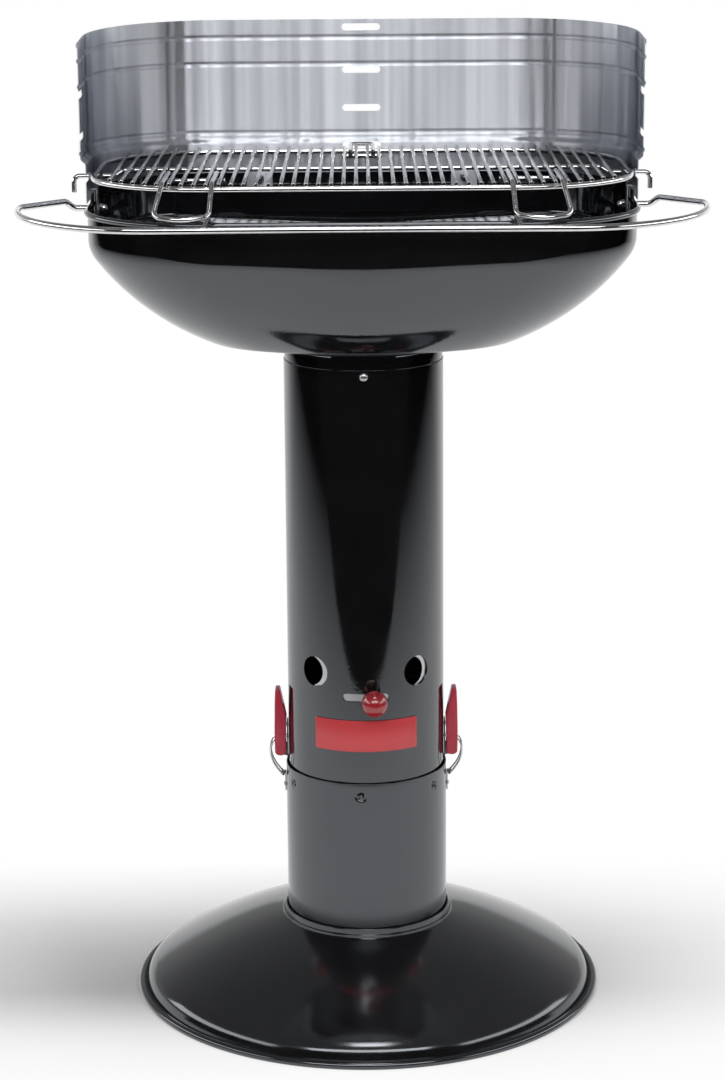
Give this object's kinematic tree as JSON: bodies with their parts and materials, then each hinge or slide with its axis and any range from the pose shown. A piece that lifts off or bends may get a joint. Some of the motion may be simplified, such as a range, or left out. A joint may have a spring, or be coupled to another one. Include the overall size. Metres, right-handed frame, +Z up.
{
  "type": "barbecue grill",
  "caption": "Pedestal charcoal barbecue grill: enamelled bowl on a column with dish foot, steel windscreen, sliding wire grate, utensil rail, air damper and toggle latches.",
  "frame": {"origin": "on the floor under the column's axis, at the centre of the foot", "axes": "+Z up along the column, +Y towards the windscreen's back, -Y the front with the knob and the grate's handles, +X to the right seen from the front"},
  "size_m": [0.6998, 0.4966, 1.016],
  "materials": {
    "enamel": "glossy black enamel",
    "sheet_steel": "brushed stainless sheet",
    "chrome": "bright chromed wire",
    "zinc": "bright zinc",
    "grate_steel": "bare dark steel wire",
    "lever_red": "satin red plastic",
    "knob_red": "glossy red plastic",
    "label_red": "plain red printed plate",
    "rubber": "black sealing rubber"
  },
  "bodies": {
    "stand": {"base_plate": "enamel", "ash_pot": "enamel", "pot_bolt": "zinc", "pot_seal": "rubber", "pot_nut": "zinc", "column_tube": "enamel", "label_plate": "label_red", "latch_bracket_left": "sheet_steel", "latch_bracket_right": "sheet_steel", "latch_rivet_left_1": "zinc", "latch_rivet_left_2": "zinc", "latch_rivet_right_1": "zinc", "latch_rivet_right_2": "zinc", "latch_pin_left": "zinc", "latch_pin_right": "zinc", "latch_catch_left": "sheet_steel", "latch_catch_right": "sheet_steel", "catch_rivet_left": "zinc", "catch_rivet_right": "zinc", "bowl": "enamel", "neck_screw_1": "zinc", "neck_screw_2": "zinc", "neck_screw_3": "zinc", "neck_nut_1": "zinc", "neck_nut_2": "zinc", "neck_nut_3": "zinc", "windscreen": "sheet_steel", "screen_bolt_left": "zinc", "screen_bolt_right": "zinc", "screen_nut_left": "chrome", "screen_nut_right": "chrome", "utensil_rail": "chrome", "rail_washer_left": "zinc", "rail_washer_right": "zinc", "rail_nut_left": "chrome", "rail_nut_right": "chrome", "rail_hook_left": "chrome", "rail_hook_right": "chrome"},
    "damper": {"damper_sleeve": "sheet_steel", "damper_stem": "zinc", "damper_nut": "zinc", "damper_knob": "knob_red"},
    "lever_left": {"latch_lever_left": "lever_red"},
    "lever_right": {"latch_lever_right": "lever_red"},
    "bail_left": {"latch_bail_left": "chrome"},
    "bail_right": {"latch_bail_right": "chrome"},
    "fire_grate": {"fire_grate": "grate_steel"},
    "grate": {"cooking_grate": "chrome", "grate_center_wire": "chrome", "grate_cross_bar_left": "chrome", "grate_cross_bar_right": "chrome", "grate_cross_bar_rear": "chrome", "grate_handle_left": "chrome", "grate_handle_right": "chrome", "grate_tongue": "chrome"}
  },
  "joints": [
    {"name": "damper_turn", "type": "hinge", "parent": "stand", "child": "damper", "pos_m": [0, 0, 0.34057], "axis": [0, 0, 1], "range_deg": [-19, 9]},
    {"name": "lever_swing_left", "type": "hinge", "parent": "stand", "child": "lever_left", "pos_m": [-0.091, 0, 0.2595], "axis": [0, -1, 0], "range_deg": [0, 90]},
    {"name": "lever_swing_right", "type": "hinge", "parent": "stand", "child": "lever_right", "pos_m": [0.091, 0, 0.2595], "axis": [0, 1, 0], "range_deg": [0, 90]},
    {"name": "bail_swing_left", "type": "hinge", "parent": "lever_left", "child": "bail_left", "pos_m": [-0.088, 0, 0.2795], "axis": [0, -1, 0], "range_deg": [-99, 0]},
    {"name": "bail_swing_right", "type": "hinge", "parent": "lever_right", "child": "bail_right", "pos_m": [0.088, 0, 0.2795], "axis": [0, 1, 0], "range_deg": [-99, 0]},
    {"name": "fire_grate_lift", "type": "slide", "parent": "stand", "child": "fire_grate", "axis": [0, 0, 1], "range_m": [0, 0.1]},
    {"name": "grate_slide", "type": "slide", "parent": "stand", "child": "grate", "axis": [0, -1, 0], "range_m": [0, 0.045]}
  ],
  "couplings": [
    {"joint": "bail_swing_left", "follows": "lever_swing_left", "ratio": -1.1},
    {"joint": "bail_swing_right", "follows": "lever_swing_right", "ratio": -1.1}
  ]
}
